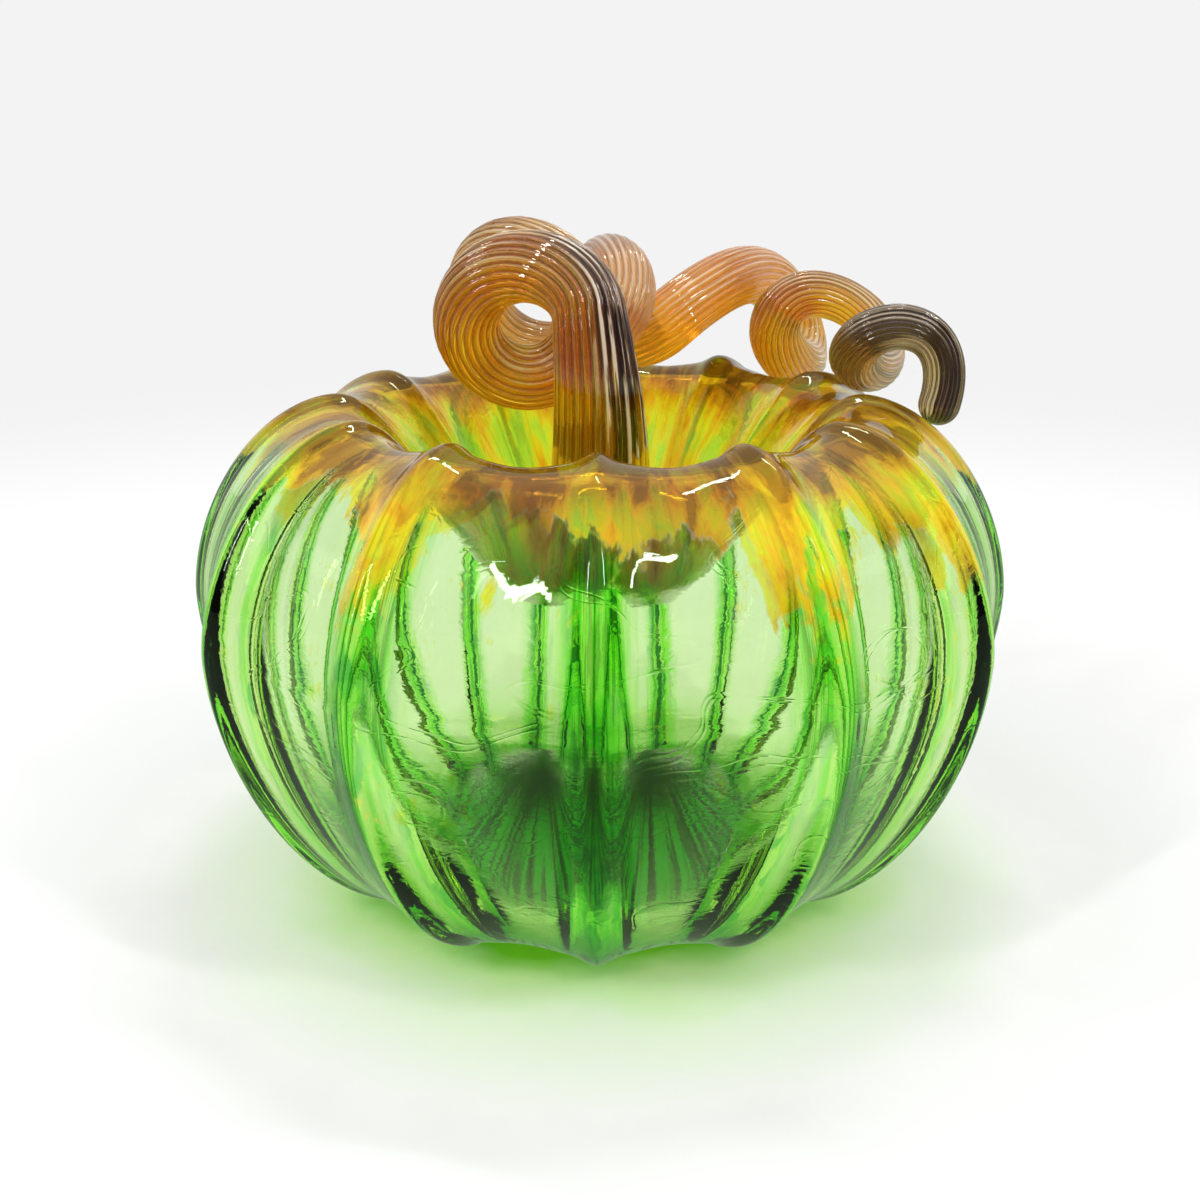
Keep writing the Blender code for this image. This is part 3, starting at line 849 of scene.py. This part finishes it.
def make_world():
    """White to the camera; in the glass, white low down and overhead, and a darker room between."""
    world = bpy.data.worlds.new("studio")
    bpy.context.scene.world = world
    world.use_nodes = True
    world.node_tree.nodes.clear()
    g = Graph(world.node_tree)
    path = g.node("ShaderNodeLightPath").outputs
    ray = g.node("ShaderNodeTexCoord").outputs["Generated"]
    way = g.node("ShaderNodeSeparateXYZ", {0: ray}).outputs

    mirrored = g.ramp(way["Z"], MIRRORED_ROOM)
    mirrored = g.mix(g.step(way["Y"], 0.40, 0.60), mirrored, MIRRORED_BACK_WALL)
    for start, full, level in SIDE_BANDS:
        mirrored = g.mix(g.step(way["X"], start, full), mirrored, level)
        mirrored = g.mix(g.step(way["X"], -full, -start, 1.0, 0.0), mirrored, level)
    light = g.mix(path["Is Glossy Ray"], LIGHT_LEVEL, mirrored)
    light = g.mix(path["Is Transmission Ray"], light, g.ramp(way["Z"], ROOM_THROUGH_GLASS))
    low_in_front = g.times(
        g.step(way["Y"], -0.55, -0.15, 0.9, 0.0),
        g.step(way["Z"], 0.25, 0.50, 1.0, 0.0),
        path["Is Transmission Ray"],
    )
    light = g.mix(low_in_front, light, FRONT_THROUGH_GLASS)
    off_the_floor = g.math("GREATER_THAN", path["Diffuse Depth"], 0.5)
    light = g.mix(off_the_floor, light, LIGHT_LEVEL)
    light = g.mix(path["Is Camera Ray"], light, BACKGROUND)
    background = g.node("ShaderNodeBackground", {"Color": light})
    g.node("ShaderNodeOutputWorld", {0: background.outputs[0]})


def add_softbox(name, location, size, power):
    """An area lamp that faces the pumpkin."""
    data = bpy.data.lights.new(name, "AREA")
    data.shape = "RECTANGLE"
    data.size, data.size_y = size
    data.energy = power
    lamp = bpy.data.objects.new(name, data)
    lamp.location = location
    lamp.rotation_euler = (LAMPS_AIM - Vector(location)).to_track_quat("-Z", "Y").to_euler()
    bpy.context.scene.collection.objects.link(lamp)


def make_camera():
    """The photograph's own viewpoint."""
    swing = CAMERA_SWING
    data = bpy.data.cameras.new("photo_view")
    data.sensor_width = SENSOR_WIDTH
    data.lens = SENSOR_WIDTH * FOCAL_PIXELS / FRAME_PIXELS
    data.shift_x = -CENTRE_OFFSET_PIXELS / FRAME_PIXELS
    data.clip_start = NEAREST_SEEN
    camera = bpy.data.objects.new("photo_view", data)
    camera.location = (
        CAMERA_DISTANCE * math.sin(swing), -CAMERA_DISTANCE * math.cos(swing), CAMERA_HEIGHT,
    )
    camera.rotation_euler = (math.pi / 2 - CAMERA_PITCH, 0.0, swing)
    bpy.context.scene.collection.objects.link(camera)
    bpy.context.scene.camera = camera


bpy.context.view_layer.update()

body = make_body(BodyGlass().material)
stem = make_stem(StemGlass().material)
for piece, node, slot in ((body, "body_shell", "green_glass"), (stem, "stem", "amber_glass")):
    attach(piece, "root")
    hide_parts(node)

make_floor()
make_world()
for softbox in SOFTBOXES:
    add_softbox(*softbox)
make_camera()

bpy.context.scene.view_settings.view_transform = "Standard"
cycles = bpy.context.scene.cycles
cycles.max_bounces = LIGHT_BOUNCES
cycles.transmission_bounces = LIGHT_BOUNCES
